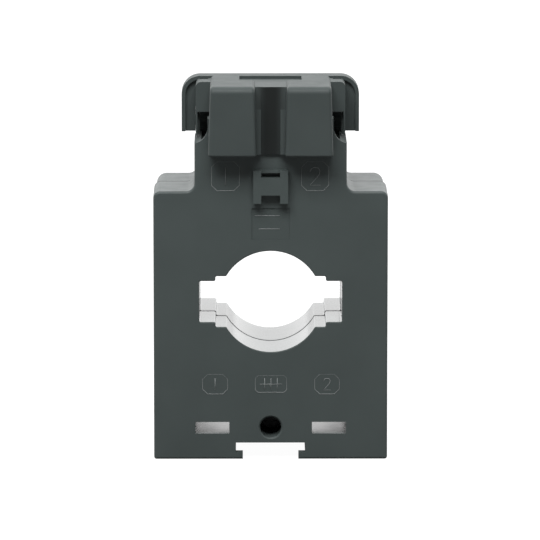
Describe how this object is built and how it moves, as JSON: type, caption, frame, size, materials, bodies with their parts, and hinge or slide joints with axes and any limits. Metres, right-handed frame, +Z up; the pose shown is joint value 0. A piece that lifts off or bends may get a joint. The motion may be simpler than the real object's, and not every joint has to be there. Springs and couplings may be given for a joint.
{
  "type": "window current transformer",
  "caption": "Window-type current transformer with stepped busbar and cable window, hinged terminal cap and slotted foot.",
  "frame": {"origin": "bottom centre of the whole part", "axes": "+Z up, +Y from the front face to the rear face along the conductor, +X to the right seen from the front"},
  "size_m": [0.07, 0.048, 0.1139],
  "materials": {
    "housing_plastic": "fine satin texture, dark slate grey, glass-filled moulding",
    "cap_plastic": "fine satin texture, dark slate grey moulding",
    "carrier_plastic": "satin black moulding",
    "nickel_brass": "nickel plated, bright",
    "zinc_steel": "zinc plated, turned",
    "core_steel": "wound silicon steel strip",
    "insulation_plastic": "natural polyamide",
    "enamelled_copper": "enamelled copper wire, laid in turns",
    "tape": "polyester tape, lapped",
    "foam": "closed cell foam",
    "lead_sheath": "flexible sheath",
    "black_steel": "black oxide finish, dull"
  },
  "bodies": {
    "housing": {"front_shell": "housing_plastic", "rear_shell": "housing_plastic", "terminal_carrier": "carrier_plastic", "wound_core": "core_steel", "core_cup_front": "insulation_plastic", "core_cup_rear": "insulation_plastic", "secondary_winding": "enamelled_copper", "winding_tape": "tape", "coil_pad_front": "foam", "coil_pad_rear": "foam", "assembly_screw": "black_steel", "left_terminal_bar": "nickel_brass", "left_lead": "lead_sheath", "right_terminal_bar": "nickel_brass", "right_lead": "lead_sheath"},
    "cap": {"terminal_cap": "cap_plastic"},
    "left_clamp": {"left_clamp_saddle": "zinc_steel", "left_spring_washer": "zinc_steel"},
    "left_screw": {"left_terminal_screw": "zinc_steel"},
    "right_clamp": {"right_clamp_saddle": "zinc_steel", "right_spring_washer": "zinc_steel"},
    "right_screw": {"right_terminal_screw": "zinc_steel"}
  },
  "joints": [
    {"name": "cap_hinge", "type": "hinge", "parent": "housing", "child": "cap", "pos_m": [0, 0.004, 0.10051], "axis": [-1, 0, 0], "range_deg": [0, 90]},
    {"name": "left_clamp_slide", "type": "slide", "parent": "housing", "child": "left_clamp", "axis": [0, -1, 0], "range_m": [0, 0.0042]},
    {"name": "left_screw_turn", "type": "hinge", "parent": "left_clamp", "child": "left_screw", "pos_m": [-0.0113, -0.0111, 0.10191], "axis": [0, -1, 0], "range_deg": [0, 1890]},
    {"name": "right_clamp_slide", "type": "slide", "parent": "housing", "child": "right_clamp", "axis": [0, -1, 0], "range_m": [0, 0.0042]},
    {"name": "right_screw_turn", "type": "hinge", "parent": "right_clamp", "child": "right_screw", "pos_m": [0.0113, -0.0111, 0.10191], "axis": [0, -1, 0], "range_deg": [0, 1890]}
  ],
  "couplings": [
    {"joint": "left_screw_turn", "follows": "left_clamp_slide", "rad_per_m": 7854},
    {"joint": "right_screw_turn", "follows": "right_clamp_slide", "rad_per_m": 7854}
  ]
}
